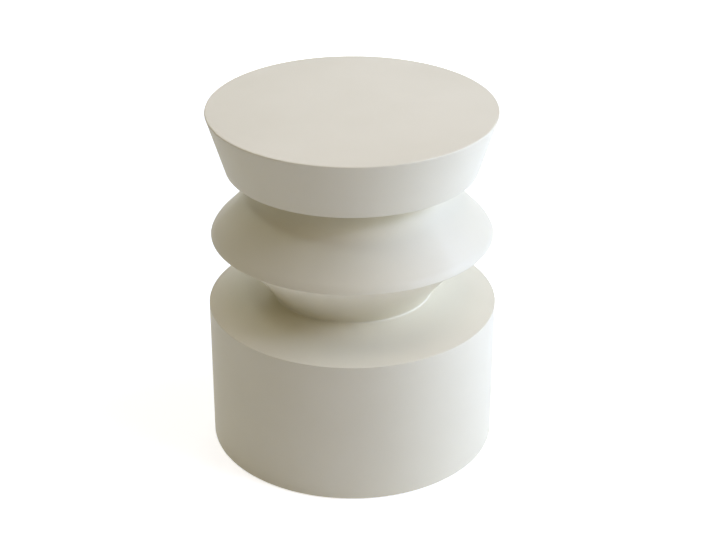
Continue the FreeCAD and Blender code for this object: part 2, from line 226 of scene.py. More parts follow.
class StudioSetup(bpy.types.PropertyGroup):
    """The camera that matches the photograph, and the floor."""

    camera_place: bpy.props.FloatVectorProperty(
        name="Camera", description="Where the camera stands", size=3, default=(0.0, -1.9760, 1.2545),
        subtype="TRANSLATION", unit="LENGTH")
    camera_tilt: bpy.props.FloatProperty(
        name="Tilt", description="How far the camera looks down", default=math.radians(27.393),
        subtype="ANGLE")
    camera_pan: bpy.props.FloatProperty(
        name="Pan", description="How far the camera turns to the right", default=math.radians(0.213),
        subtype="ANGLE")
    lens: bpy.props.FloatProperty(
        name="Lens", description="Focal length on a 36 mm wide sensor, in millimetres", default=86.30)
    floor_size: bpy.props.FloatProperty(
        name="Floor size", description="Side of the pale floor", default=14.0, unit="LENGTH")
    floor_colour: bpy.props.FloatVectorProperty(
        name="Floor colour", description="Pale floor", subtype="COLOR", size=3, default=(0.88, 0.88, 0.88))
    floor_dimmest_share: bpy.props.FloatProperty(
        name="Dimmest share", description="The floor's dimmest patches, as a share of its colour",
        default=0.99, min=0.0, max=1.0, subtype="FACTOR")
    floor_glow: bpy.props.FloatProperty(
        name="Floor glow", description="What the floor adds to its own light where it is seen", default=0.66)
    fade_start: bpy.props.FloatProperty(
        name="Fade start", description="Where the floor starts to fade to plain white", default=1.2,
        unit="LENGTH")
    fade_end: bpy.props.FloatProperty(
        name="Fade end", description="Where the floor has become plain white", default=3.2, unit="LENGTH")
    floor_bounce: bpy.props.FloatProperty(
        name="Floor bounce", description="Light that the bright floor sends up to the table", default=0.11)


def settings(name):
    """Return one of the add-on's groups of settings."""
    return getattr(bpy.context.scene, name)


def place(radius, level):
    """Return the point of a turning profile at this radius and level."""
    return Vector((radius, 0.0, level))


def lowest(node):
    """Return a frame piece's lowest level."""
    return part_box(node)[0].z


def highest(node):
    """Return a frame piece's highest level."""
    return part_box(node)[1].z


def widest(node):
    """Return a turned frame piece's radius."""
    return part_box(node)[1].x


def slanted(angle):
    """Return the unit vector that points outward and up at this angle from level."""
    return Vector((math.cos(angle), 0.0, math.sin(angle)))


def along(first, second, level):
    """Return the point of the straight line between two points at this level."""
    share = (level - first.z) / (second.z - first.z)
    return first.lerp(second, share)


def half_opening(before, corner, after):
    """Return half of the angle between a corner's two sides."""
    return (before - corner).angle(after - corner) / 2


def corner_reach(before, corner, after, rounding):
    """Return how far from the corner an arc of this radius touches its sides."""
    return rounding / math.tan(half_opening(before, corner, after))


class Outline:
    """The corners of the outer form, which neighbouring pieces share."""

    def __init__(self, form):
        self.foot = place(widest("drum_wall"), lowest("drum_wall"))
        self.wall_top = place(self.foot.x, highest("drum_wall"))
        self.drum_rim = self.wall_top + Vector((0.0, 0.0, form.shoulder_edge))
        self.neck = place(form.neck_radius, self.drum_rim.z + form.shoulder_rise)
        self.spool_edge = place(widest("spool_lower"), highest("spool_lower"))
        flare_start = slanted(form.flare_start_angle)
        self.lower_seat = along(self.neck, self.neck + flare_start, lowest("spool_lower"))
        chord = self.spool_edge - self.lower_seat
        turn = flare_start.angle(chord)
        self.flare_corner = self.lower_seat + flare_start * (chord.length / 2 / math.cos(turn))
        self.top_rim = place(form.top_foot_radius, lowest("top_side_ring") - form.top_edge)
        self.upper_neck = place(form.upper_neck_radius, self.top_rim.z - form.underside_rise)
        self.table_rim = place(widest("top_board"), highest("top_board"))
        self.nose_corner = self.find_nose_corner(form)
        self.upper_seat = along(self.upper_neck, self.nose_corner, highest("spool_upper"))
        self.wall_bore = widest("base_board") + form.joint_fit
        self.web_bore = widest("spool_web") + form.joint_fit
        ring_foot = self.side(lowest("top_side_ring"))
        self.ring_bore = ring_foot.x - form.side_ring_wall

    def find_nose_corner(self, form):
        """Return where the upper cone would meet the nose's direction at the crisp edge."""
        centre = self.spool_edge - slanted(form.nose_edge_angle) * form.nose_radius
        sight = self.upper_neck - centre
        bearing = math.atan2(sight.z, sight.x) - math.acos(form.nose_radius / sight.length)
        middle = (bearing + form.nose_edge_angle) / 2
        return centre + slanted(middle) * (form.nose_radius / math.cos(bearing - middle))

    def side(self, level):
        """Return the point of the top's flaring side at this level."""
        return along(self.top_rim, self.table_rim, level)

    def cove(self, before, neck, after, seat):
        """Return the radius of the cove in a neck that runs out at the seat."""
        return (seat - neck).length * math.tan(half_opening(before, neck, after))

    def edge_seam(self, form):
        """Return where the two bowls meet, at the lower end of the rounded edge."""
        reach = corner_reach(self.flare_corner, self.spool_edge, self.nose_corner, form.crisp_arris)
        return self.spool_edge + (self.flare_corner - self.spool_edge).normalized() * reach

    def flare_rounding(self, form):
        """Return the flare's rounding where it ends at the seam of the two bowls."""
        room = (self.flare_corner - self.edge_seam(form)).length
        return room * math.tan(half_opening(self.lower_seat, self.flare_corner, self.spool_edge))

    def nose_rounding(self, form):
        """Return the nose's rounding where it starts right above the rounded edge."""
        room = (self.nose_corner - self.spool_edge).length
        room -= corner_reach(self.flare_corner, self.spool_edge, self.nose_corner, form.crisp_arris)
        return room * math.tan(half_opening(self.spool_edge, self.nose_corner, self.upper_neck))


def draw_corner(mesh, pen, before, corner, after, rounding, steps):
    """Draw a line to the corner and, if it is rounded, the arc round it. Return the pen's new vertex."""
    reach = corner_reach(before, corner, after, rounding) if rounding else 0.0
    start = corner + (before - corner).normalized() * reach
    if pen is None:
        pen = bmesh.ops.create_vert(mesh, co=start)["vert"][0]
    elif (pen.co - start).length > MERGE:
        pen = bmesh.ops.extrude_vert_indiv(mesh, verts=[pen])["verts"][0]
        pen.co = start
    if rounding == 0:
        return pen
    inward = ((before - corner).normalized() + (after - corner).normalized()).normalized()
    centre = corner + inward * math.hypot(rounding, reach)
    sweep = math.pi - 2 * half_opening(before, corner, after)
    if (corner - before).cross(after - corner).y < 0:
        sweep = -sweep
    arc = bmesh.ops.spin(mesh, geom=[pen], cent=centre, axis=(0, 1, 0), angle=sweep, steps=steps)
    return [part for part in arc["geom_last"] if isinstance(part, bmesh.types.BMVert)][0]


def draw_outline(mesh, corners, steps):
    """Draw an outline through corners, closed unless both of its ends are on the axis.

    A corner is a point, or a point and its rounding.
    """
    corners = [corner if isinstance(corner, tuple) else (corner, 0.0) for corner in corners]
    points = [corner[0] for corner in corners]
    pen = None
    first = None
    for index, (corner, rounding) in enumerate(corners):
        before = points[index - 1]
        after = points[(index + 1) % len(points)]
        if pen is None and rounding:
            raise ValueError("an outline starts at a plain corner")
        pen = draw_corner(mesh, pen, before, corner, after, rounding, steps)
        first = first or pen
    if points[0].x or points[-1].x:
        bmesh.ops.contextual_create(mesh, geom=[pen, first])


def turned(corners, steps, arc_steps):
    """Return the closed shape that an outline through these corners makes in a full turn."""
    mesh = bmesh.new()
    draw_outline(mesh, corners, arc_steps)
    bmesh.ops.spin(
        mesh, geom=mesh.verts[:] + mesh.edges[:], cent=(0, 0, 0), axis=(0, 0, 1), angle=math.tau,
        steps=steps, use_merge=True)
    bmesh.ops.remove_doubles(mesh, verts=mesh.verts, dist=MERGE)
    bmesh.ops.recalc_face_normals(mesh, faces=mesh.faces)
    return mesh


def repeat_at(mesh, places):
    """Copy the shape to each place but the first, then move it to the first."""
    shape = mesh.verts[:] + mesh.edges[:] + mesh.faces[:]
    own = mesh.verts[:]
    for spot in places[1:]:
        copy = bmesh.ops.duplicate(mesh, geom=shape)
        verts = [part for part in copy["geom"] if isinstance(part, bmesh.types.BMVert)]
        bmesh.ops.translate(mesh, verts=verts, vec=spot)
    bmesh.ops.translate(mesh, verts=own, vec=places[0])


def ring_of_places(count, radius, turn):
    """Return evenly spaced places on a circle about the axis."""
    places = []
    for index in range(count):
        places.append(Matrix.Rotation(turn + math.tau * index / count, 3, "Z") @ Vector((radius, 0.0, 0.0)))
    return places


def to_object(name, mesh):
    """Put a finished shape into the scene as an object at the origin."""
    data = bpy.data.meshes.new(name)
    mesh.to_mesh(data)
    mesh.free()
    piece = bpy.data.objects.new(name, data)
    bpy.context.scene.collection.objects.link(piece)
    return piece


def combine(piece, cutter, operation):
    """Cut a piece with another shape, or keep what both share, and drop the other shape."""
    change = piece.modifiers.new("Combine", "BOOLEAN")
    change.operation = operation
    change.solver = "EXACT"
    change.object = cutter
    graph = bpy.context.evaluated_depsgraph_get()
    made = bpy.data.meshes.new_from_object(piece.evaluated_get(graph), depsgraph=graph)
    if not made.polygons:
        raise RuntimeError("cutting left nothing of " + piece.name)
    old = piece.data
    piece.modifiers.clear()
    piece.data = made
    made.name = piece.name
    bpy.data.meshes.remove(old)
    bpy.data.objects.remove(cutter)


def dowel_holes(node, below, above):
    """Return a shape for cutting the holes of a frame piece's dowels, this far beyond their ends."""
    form = settings("table_form")
    bottom = lowest(node) - below
    top = highest(node) + above
    radius = form.dowel_radius + DOWEL_PLAY
    mesh = bmesh.new()
    bmesh.ops.create_cone(
        mesh, cap_ends=True, segments=HOLE_TURN, radius1=radius, radius2=radius, depth=top - bottom,
        matrix=Matrix.Translation((0.0, 0.0, (top + bottom) / 2)))
    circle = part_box(node)[1].y - form.dowel_radius
    repeat_at(mesh, ring_of_places(DOWEL_COUNT, circle, DOWEL_BEARING))
    return to_object("hole_cutter", mesh)


def finish_piece(piece, node, finish_name):
    """Shade a piece, give it its finish, hang it on the root body and hide the frame piece that it stands
    for.
    """
    form = settings("table_form")
    mesh = bmesh.new()
    mesh.from_mesh(piece.data)
    for face in mesh.faces:
        face.smooth = True
    for edge in mesh.edges:
        edge.smooth = len(edge.link_faces) == 2 and edge.calc_face_angle() < form.sharp_angle
    mesh.to_mesh(piece.data)
    mesh.free()
    shading = piece.modifiers.new("Even shading", "WEIGHTED_NORMAL")
    shading.keep_sharp = True
    piece.data.materials.clear()
    piece.data.materials.append(finish(finish_name))
    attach(piece, "root")
    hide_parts(node)


def put(tree, kind, **values):
    """Add a node to a node tree. Names that are sockets set the socket, and the others set the node."""
    made = tree.nodes.new(kind)
    for name, value in values.items():
        words = name.replace("_", " ").title()
        if hasattr(made, name):
            setattr(made, name, value)
        else:
            made.inputs[words].default_value = value
    return made


def join(tree, source, target):
    """Link an output socket to an input socket."""
    tree.links.new(source, target)


def feed(tree, source, target):
    """Feed an input socket from an output socket, or set it to a value."""
    if isinstance(source, bpy.types.NodeSocket):
        join(tree, source, target)
    else:
        target.default_value = source


def compute(tree, operation, *terms, **options):
    """Add a Math node fed with sockets or numbers and return its result."""
    made = put(tree, "ShaderNodeMath", operation=operation, **options)
    for term, target in zip(terms, made.inputs):
        feed(tree, term, target)
    return made.outputs["Value"]


def blend(tree, factor, first, second, blend_type="MIX"):
    """Blend two colours, each a socket or a value. The colour sockets of a Mix node are 6, 7 and 2."""
    made = put(tree, "ShaderNodeMix", data_type="RGBA", blend_type=blend_type)
    feed(tree, factor, made.inputs["Factor"])
    feed(tree, first, made.inputs[6])
    feed(tree, second, made.inputs[7])
    return made.outputs[2]


def wire_drift(tree, start, end):
    """Let a soft cloud choose between two colours and two roughnesses."""
    cloud = put(tree, "ShaderNodeTexNoise", detail=3.0, roughness=0.55)
    spread = put(tree, "ShaderNodeMapRange", from_min=0.35, from_max=0.65)
    gloss = put(tree, "ShaderNodeMapRange")
    join(tree, start["Vector"], cloud.inputs["Vector"])
    join(tree, start["Scale"], cloud.inputs["Scale"])
    join(tree, cloud.outputs["Fac"], spread.inputs["Value"])
    share = spread.outputs["Result"]
    join(tree, share, gloss.inputs["Value"])
    join(tree, start["Low Roughness"], gloss.inputs["To Min"])
    join(tree, start["High Roughness"], gloss.inputs["To Max"])
    join(tree, blend(tree, share, start["Colour"], start["Other Colour"]), end["Colour"])
    join(tree, gloss.outputs["Result"], end["Roughness"])


def wire_speckle(tree, start, end):
    """Mix a coarse and a fine noise. A Mix node's number sockets are 0, 2 and 3, and 0 for the result."""
    coarse = put(tree, "ShaderNodeTexNoise", detail=1.0)
    fine = put(tree, "ShaderNodeTexNoise", detail=2.0)
    both = put(tree, "ShaderNodeMix", data_type="FLOAT")
    join(tree, start["Vector"], coarse.inputs["Vector"])
    join(tree, start["Vector"], fine.inputs["Vector"])
    join(tree, start["Scale"], coarse.inputs["Scale"])
    join(tree, start["Fine Scale"], fine.inputs["Scale"])
    join(tree, start["Fine Share"], both.inputs[0])
    join(tree, coarse.outputs["Fac"], both.inputs[2])
    join(tree, fine.outputs["Fac"], both.inputs[3])
    join(tree, both.outputs[0], end["Mask"])


def wire_fleck(tree, start, end):
    """Multiply a colour by a dark one where the mask is low, and leave it where the mask is high."""
    depth = put(tree, "ShaderNodeMapRange")
    join(tree, start["Mask"], depth.inputs["Value"])
    join(tree, start["Low"], depth.inputs["From Min"])
    join(tree, start["High"], depth.inputs["From Max"])
    tone = blend(tree, depth.outputs["Result"], start["Dark"], WHITE)
    join(tree, blend(tree, 1.0, start["Colour"], tone, "MULTIPLY"), end["Colour"])


def wire_axis(tree, start, end):
    """Work out a point's bearing round the upright axis, and its level."""
    parts = put(tree, "ShaderNodeSeparateXYZ")
    join(tree, start["Vector"], parts.inputs["Vector"])
    join(tree, compute(tree, "ARCTAN2", parts.outputs["Y"], parts.outputs["X"]), end["Bearing"])
    join(tree, parts.outputs["Z"], end["Level"])


# Each shared group's inputs with their first values, its outputs, and what wires it
SHARED_GROUPS = {
    "Slow drift": (
        [
            ("Vector", VECTOR, None),
            ("Scale", FLOAT, 8.0),
            ("Colour", COLOUR, (0.8, 0.8, 0.8, 1.0)),
            ("Other Colour", COLOUR, (0.7, 0.7, 0.7, 1.0)),
            ("Low Roughness", FLOAT, 0.4),
            ("High Roughness", FLOAT, 0.5),
        ],
        [("Colour", COLOUR), ("Roughness", FLOAT)],
        wire_drift,
    ),
    "Fine speckle": (
        [
            ("Vector", VECTOR, None),
            ("Scale", FLOAT, 400.0),
            ("Fine Scale", FLOAT, 1600.0),
            ("Fine Share", FLOAT, 0.3),
        ],
        [("Mask", FLOAT)],
        wire_speckle,
    ),
    "Dark flecks": (
        [
            ("Colour", COLOUR, WHITE),
            ("Mask", FLOAT, 0.5),
            ("Low", FLOAT, 0.3),
            ("High", FLOAT, 0.7),
            ("Dark", COLOUR, (0.8, 0.8, 0.8, 1.0)),
        ],
        [("Colour", COLOUR)],
        wire_fleck,
    ),
    "Round the axis": ([("Vector", VECTOR, None)], [("Bearing", FLOAT), ("Level", FLOAT)], wire_axis),
}


def shared_group(name):
    """Return a shared shader node group by name, made on its first use."""
    tree = bpy.data.node_groups.get(name)
    if tree:
        return tree
    inputs, outputs, wire = SHARED_GROUPS[name]
    tree = bpy.data.node_groups.new(name, "ShaderNodeTree")
    for title, kind, default in inputs:
        socket = tree.interface.new_socket(name=title, in_out="INPUT", socket_type=kind)
        if default is not None:
            socket.default_value = default
    for title, kind in outputs:
        tree.interface.new_socket(name=title, in_out="OUTPUT", socket_type=kind)
    wire(tree, tree.nodes.new("NodeGroupInput").outputs, tree.nodes.new("NodeGroupOutput").inputs)
    return tree


def put_group(tree, name, where, **values):
    """Place a shared group in a material with these values, read at these coordinates."""
    made = put(tree, "ShaderNodeGroup", node_tree=shared_group(name), **values)
    join(tree, where, made.inputs["Vector"])
    return made


def surface(tree, shader, where, drift, relief, height, flecks=None):
    """Give a shader a drifting colour and gloss and a fine relief, with dark flecks in its lows if given."""
    cloud = put_group(tree, "Slow drift", where, **drift)
    fine = put_group(tree, "Fine speckle", where, **relief)
    raised = put(tree, "ShaderNodeBump", distance=height)
    colour = cloud.outputs["Colour"]
    if flecks:
        dark = put(tree, "ShaderNodeGroup", node_tree=shared_group("Dark flecks"), **flecks)
        join(tree, colour, dark.inputs["Colour"])
        join(tree, fine.outputs["Mask"], dark.inputs["Mask"])
        colour = dark.outputs["Colour"]
    join(tree, colour, shader.inputs["Base Color"])
    join(tree, cloud.outputs["Roughness"], shader.inputs["Roughness"])
    join(tree, fine.outputs["Mask"], raised.inputs["Height"])
    join(tree, raised.outputs["Normal"], shader.inputs["Normal"])
    return raised


def with_alpha(colour):
    """Return a colour for a colour socket."""
    return (*colour, 1.0)


def make_lacquer(tree, shader, where):
    """Satin lacquer: slow drift of the film, fine orange peel, and a thin clear coat."""
    film = settings("lacquer_finish")
    drift = dict(
        scale=7.0, colour=with_alpha(film.colour), other_colour=with_alpha(film.thick_colour),
        low_roughness=film.roughness - film.roughness_drift,
        high_roughness=film.roughness + film.roughness_drift)
    peel = dict(scale=230.0, fine_scale=900.0, fine_share=0.25)
    surface(tree, shader, where, drift, peel, film.peel_height)
    shader.inputs["IOR"].default_value = 1.5
    shader.inputs["Coat Weight"].default_value = film.coat
    shader.inputs["Coat Roughness"].default_value = 0.16


def make_fibreboard(tree, shader, where):
    """Bare fibreboard: brown felted fibres with pale and dark specks."""
    drift = dict(
        scale=16.0, colour=(0.36, 0.235, 0.135, 1.0), other_colour=(0.30, 0.19, 0.105, 1.0),
        low_roughness=0.78, high_roughness=0.9)
    specks = dict(scale=520.0, fine_scale=1500.0, fine_share=0.5)
    fibres = dict(low=0.3, high=0.7, dark=(0.78, 0.76, 0.74, 1.0))
    surface(tree, shader, where, drift, specks, 0.15 * MM, fibres)


def make_beech(tree, shader, where, stretch, around):
    """Bare beech: long, close grain that runs along the axis, or outwards if it is read round the axis."""
    if around:
        axis = put_group(tree, "Round the axis", where)
        polar = put(tree, "ShaderNodeCombineXYZ")
        join(tree, axis.outputs["Bearing"], polar.inputs["X"])
        join(tree, axis.outputs["Level"], polar.inputs["Y"])
        where = polar.outputs["Vector"]
    grain = put(tree, "ShaderNodeMapping", scale=stretch)
    join(tree, where, grain.inputs["Vector"])
    drift = dict(
        scale=22.0, colour=(0.56, 0.37, 0.215, 1.0), other_colour=(0.47, 0.295, 0.165, 1.0),
        low_roughness=0.58, high_roughness=0.72)
    pores = dict(scale=260.0, fine_scale=700.0, fine_share=0.4)
    dark_pores = dict(low=0.38, high=0.6, dark=(0.80, 0.74, 0.70, 1.0))
    surface(tree, shader, grain.outputs["Vector"], drift, pores, 0.08 * MM, dark_pores)


def make_zinc(tree, shader, where, colours, thread_pitch=0.0):
    """Plated steel: bright and dull patches with fine pits, and a screw thread if a pitch is given."""
    bright, dull = colours
    shader.inputs["Metallic"].default_value = 1.0
    drift = dict(
        scale=160.0, colour=with_alpha(bright), other_colour=with_alpha(dull),
        low_roughness=0.26, high_roughness=0.42)
    pits = dict(scale=1400.0, fine_scale=4200.0, fine_share=0.5)
    plating = surface(tree, shader, where, drift, pits, 0.01 * MM)
    if thread_pitch:
        axis = put_group(tree, "Round the axis", where)
        turns = compute(tree, "DIVIDE", axis.outputs["Bearing"], math.tau)
        climb = compute(tree, "DIVIDE", axis.outputs["Level"], thread_pitch)
        helix = compute(tree, "SUBTRACT", climb, turns)
        tooth = compute(tree, "PINGPONG", helix, 0.5)
        thread = put(tree, "ShaderNodeBump", distance=THREAD_DEPTH)
        join(tree, tooth, thread.inputs["Height"])
        join(tree, thread.outputs["Normal"], plating.inputs["Normal"])


def make_nylon(tree, shader, where):
    """Moulded nylon: milky, faintly uneven, with a fine moulded grain."""
    drift = dict(
        scale=60.0, colour=(0.66, 0.645, 0.59, 1.0), other_colour=(0.60, 0.58, 0.52, 1.0),
        low_roughness=0.42, high_roughness=0.55)
    grain = dict(scale=1500.0, fine_scale=3600.0, fine_share=0.4)
    surface(tree, shader, where, drift, grain, 0.02 * MM)
    shader.inputs["Subsurface Weight"].default_value = 0.15
    shader.inputs["Subsurface Scale"].default_value = 1.5 * MM


def seen_rays(tree):
    """Return a mask of the rays by which the background is seen: directly, in gloss and through glass."""
    path = put(tree, "ShaderNodeLightPath")
    pair = compute(tree, "ADD", path.outputs["Is Camera Ray"], path.outputs["Is Glossy Ray"])
    return compute(tree, "ADD", pair, path.outputs["Is Transmission Ray"], use_clamp=True)


def make_floor_paint(tree, shader, where):
    """Pale floor paint that reads white where no shadow falls, and fades to plain white far away."""
    studio = settings("studio_setup")
    drift = put_group(
        tree, "Slow drift", where, scale=1.5, colour=with_alpha(studio.floor_colour),
        other_colour=with_alpha([part * studio.floor_dimmest_share for part in studio.floor_colour]),
        low_roughness=0.85, high_roughness=0.95)
    distance = put(tree, "ShaderNodeVectorMath", operation="LENGTH")
    fade = put(
        tree, "ShaderNodeMapRange", interpolation_type="SMOOTHSTEP",
        from_min=studio.fade_start, from_max=studio.fade_end,
        to_min=studio.floor_glow - studio.floor_bounce, to_max=1.0 - studio.floor_bounce)
    join(tree, drift.outputs["Colour"], shader.inputs["Base Color"])
    join(tree, drift.outputs["Roughness"], shader.inputs["Roughness"])
    join(tree, where, distance.inputs[0])
    join(tree, distance.outputs["Value"], fade.inputs["Value"])
    glow = compute(tree, "MULTIPLY_ADD", seen_rays(tree), fade.outputs["Result"], studio.floor_bounce)
    join(tree, glow, shader.inputs["Emission Strength"])
    shader.inputs["Emission Color"].default_value = WHITE
    shader.inputs["Specular IOR Level"].default_value = 0.1


# Each finish's maker and what it is given beside the tree, the shader and the coordinates
FINISHES = {
    "satin_lacquer": (make_lacquer,),
    "bare_fibreboard": (make_fibreboard,),
    "upright_beech": (make_beech, (1.0, 1.0, 0.06), False),
    "radial_beech": (make_beech, (0.12, 1.0, 1.0), True),
    "bright_zinc": (make_zinc, ZINC),
    "threaded_zinc": (make_zinc, ZINC, THREAD_PITCH),
    "yellow_zinc": (make_zinc, YELLOW_ZINC),
    "moulded_nylon": (make_nylon,),
    "floor_paint": (make_floor_paint,),
}


def finish(name):
    """Return a finish by name, made on its first use as one Principled shader on Object coordinates."""
    material = bpy.data.materials.get(name)
    if material:
        return material
    material = bpy.data.materials.new(name)
    material.use_nodes = True
    tree = material.node_tree
    tree.nodes.clear()
    shader = put(tree, "ShaderNodeBsdfPrincipled")
    output = put(tree, "ShaderNodeOutputMaterial")
    where = put(tree, "ShaderNodeTexCoord")
    join(tree, shader.outputs["BSDF"], output.inputs["Surface"])
    make, *given = FINISHES[name]
    make(tree, shader, where.outputs["Object"], *given)
    return material


class Step:
    """What all the table's operators share."""

    bl_options = {"REGISTER", "UNDO"}


class TurnedPiece(Step):
    """What the operators for turned, lacquered pieces share.

    Each gives its node and its outline's corners. Where dowels go in, it also gives the dowels' node and how
    far their holes go on below and above them.
    """

    dowels = None

    def execute(self, context):
        form = context.scene.table_form
        outline = Outline(form)
        mesh = turned(self.corners(outline, form), form.turn_steps, form.arc_steps)
        piece = to_object("lacquered_" + self.node, mesh)
        if self.dowels:
            combine(piece, dowel_holes(*self.dowels), "DIFFERENCE")
        finish_piece(piece, self.node, "satin_lacquer")
        return {"FINISHED"}


class SIDETABLE_OT_top_board(TurnedPiece, bpy.types.Operator):
    """Turn the round board that is the table's surface, with its softened rim and its spigot"""

    bl_idname = "side_table.top_board"
    bl_label = "Surface Board"
    node = "top_board"

    def corners(self, outline, form):
        bottom = lowest("top_board")
        seat = highest("top_side_ring")
        spigot = outline.ring_bore - form.joint_fit
        return [
            place(0.0, bottom),
            place(spigot, bottom),
            place(spigot, seat),
            outline.side(seat),
            (outline.table_rim, form.table_arris),
            place(0.0, outline.table_rim.z),
        ]


class SIDETABLE_OT_top_side_ring(TurnedPiece, bpy.types.Operator):
    """Turn the flaring side of the top between its two boards"""

    bl_idname = "side_table.top_side_ring"
    bl_label = "Flaring Side"
    node = "top_side_ring"

    def corners(self, outline, form):
        bottom = lowest("top_side_ring")
        top = highest("top_side_ring")
        return [
            place(outline.ring_bore, bottom),
            outline.side(bottom),
            outline.side(top),
            place(outline.ring_bore, top),
        ]


class SIDETABLE_OT_under_board(TurnedPiece, bpy.types.Operator):
    """Turn the board under the top: cove, shallow underside, crisp foot of the side, and spigot"""

    bl_idname = "side_table.under_board"
    bl_label = "Under Board"
    node = "top_under_board"
    dowels = ("top_dowels", 0.0, DEPTH_PLAY)

    def corners(self, outline, form):
        seat = outline.upper_seat
        ledge = lowest("top_side_ring")
        spigot = outline.ring_bore - form.joint_fit
        spigot_top = highest("top_under_board")
        barrel = form.barrel_radius + form.joint_fit
        barrel_floor = lowest("rod_anchor") - DEPTH_PLAY
        cove = outline.cove(outline.top_rim, outline.upper_neck, outline.nose_corner, seat)
        return [
            place(form.rod_hole_radius, seat.z),
            seat,
            (outline.upper_neck, cove),
            (outline.top_rim, form.crisp_arris),
            outline.side(ledge),
            place(spigot, ledge),
            place(spigot, spigot_top),
            place(barrel, spigot_top),
            place(barrel, barrel_floor),
            place(form.rod_hole_radius, barrel_floor),
        ]


class SIDETABLE_OT_upper_bowl(TurnedPiece, bpy.types.Operator):
    """Turn the spool's upper bowl: soft nose, steep cone, flat floor and the web's rebate"""

    bl_idname = "side_table.upper_bowl"
    bl_label = "Upper Bowl"
    node = "spool_upper"
    dowels = ("top_dowels", DEPTH_PLAY, 0.0)

    def corners(self, outline, form):
        seat = outline.upper_seat
        seam = outline.edge_seam(form)
        web_top = highest("spool_web")
        floor = seat.z - form.bowl_floor
        wall = Vector((form.cone_wall, 0.0, 0.0))
        return [
            place(outline.web_bore, seam.z),
            place(outline.web_bore, web_top),
            along(outline.upper_neck, outline.nose_corner, web_top) - wall,
            along(outline.upper_neck, outline.nose_corner, floor) - wall,
            place(form.rod_hole_radius, floor),
            place(form.rod_hole_radius, seat.z),
            seat,
            (outline.nose_corner, outline.nose_rounding(form)),
            (outline.spool_edge, form.crisp_arris),
            seam,
        ]


class SIDETABLE_OT_lower_bowl(TurnedPiece, bpy.types.Operator):
    """Turn the spool's lower bowl: hollow flare, flat floor and the web's rebate"""

    bl_idname = "side_table.lower_bowl"
    bl_label = "Lower Bowl"
    node = "spool_lower"
    dowels = ("base_dowels", 0.0, DEPTH_PLAY)

    def corners(self, outline, form):
        seat = outline.lower_seat
        seam = outline.edge_seam(form)
        web_bottom = lowest("spool_web")
        floor = seat.z + form.bowl_floor
        wall = Vector((form.cone_wall, 0.0, 0.0))
        return [
            place(form.rod_hole_radius, seat.z),
            seat,
            (outline.flare_corner, outline.flare_rounding(form)),
            seam,
            place(outline.web_bore, seam.z),
            place(outline.web_bore, web_bottom),
            along(outline.neck, outline.spool_edge, web_bottom) - wall,
            along(outline.neck, outline.spool_edge, floor) - wall,
            place(form.rod_hole_radius, floor),
        ]


class SIDETABLE_OT_shoulder_board(TurnedPiece, bpy.types.Operator):
    """Turn the board that closes the drum: crisp rim, shallow cone and cove"""

    bl_idname = "side_table.shoulder_board"
    bl_label = "Shoulder Board"
    node = "shoulder_board"
    dowels = ("base_dowels", DEPTH_PLAY, 0.0)

    def corners(self, outline, form):
        seat = outline.lower_seat
        bottom = lowest("shoulder_board")
        spigot = outline.wall_bore - form.joint_fit
        cove = outline.cove(outline.drum_rim, outline.neck, seat, seat)
        return [
            place(form.rod_hole_radius, bottom),
            place(spigot, bottom),
            place(spigot, outline.wall_top.z),
            outline.wall_top,
            (outline.drum_rim, form.crisp_arris),
            (outline.neck, cove),
            seat,
            place(form.rod_hole_radius, seat.z),
        ]


class SIDETABLE_OT_drum_wall(TurnedPiece, bpy.types.Operator):
    """Bend the drum's straight wall, with a softened foot"""

    bl_idname = "side_table.drum_wall"
    bl_label = "Drum Wall"
    node = "drum_wall"

    def corners(self, outline, form):
        return [
            place(outline.wall_bore, outline.wall_top.z),
            (place(outline.wall_bore, outline.foot.z), form.crisp_arris),
            (outline.foot, form.crisp_arris),
            outline.wall_top,
        ]


class SIDETABLE_OT_inner_parts(Step, bpy.types.Operator):
    """Give the boards, timber and steel of the frame their bare finishes"""

    bl_idname = "side_table.inner_parts"
    bl_label = "Inner Parts"

    def execute(self, context):
        finishes = {
            "bare_fibreboard": ["spool_web", "base_board"],
            "upright_beech": ["drum_posts", "top_dowels", "base_dowels"],
            "radial_beech": ["top_spacers"],
            "bright_zinc": ["rod_anchor", "rod_washer"],
            "threaded_zinc": ["tie_rod"],
            "yellow_zinc": ["anchor_screws"],
        }
        for name, nodes in finishes.items():
            for node in nodes:
                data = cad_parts[node].data
                data.materials.clear()
                data.materials.append(finish(name))
        return {"FINISHED"}


def corner_places(node, edge):
    """Return the four places of a frame piece whose members stand at this distance inside its box's sides."""
    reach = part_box(node)[1].x - edge
    return ring_of_places(4, math.hypot(reach, reach), math.radians(45.0))


def slot_cutter(mouth, recess, turn):
    """Return a shape for cutting one tapered slot of a cross recess upwards from the mouth's level."""
    width, length, depth = recess
    overrun = depth * RECESS_OVERRUN_SHARE
    mesh = bmesh.new()
    blade = bmesh.ops.create_cube(mesh, size=1.0)["verts"]
    bmesh.ops.scale(mesh, verts=blade, vec=(length, width, depth + overrun))
    bmesh.ops.translate(mesh, verts=blade, vec=(0.0, 0.0, mouth + (depth - overrun) / 2))
    bottom = [corner for corner in blade if corner.co.z > mouth]
    bmesh.ops.scale(mesh, verts=bottom, vec=RECESS_BOTTOM_SHARES)
    bmesh.ops.rotate(mesh, verts=blade, cent=(0, 0, 0), matrix=Matrix.Rotation(turn, 3, "Z"))
    return to_object("slot_cutter", mesh)


def make_screws(name, node, corners, recess, head_radius):
    """Turn a screw, cut the two slots of its cross recess and set one wherever the frame piece has one."""
    piece = to_object(name, turned(corners, SCREW_TURN, HARDWARE_ARC))
    for turn in (0.0, math.pi / 2):
        combine(piece, slot_cutter(lowest(node), recess, turn), "DIFFERENCE")
    mesh = bmesh.new()
    mesh.from_mesh(piece.data)
    repeat_at(mesh, corner_places(node, head_radius))
    mesh.to_mesh(piece.data)
    mesh.free()
    finish_piece(piece, node, "yellow_zinc")


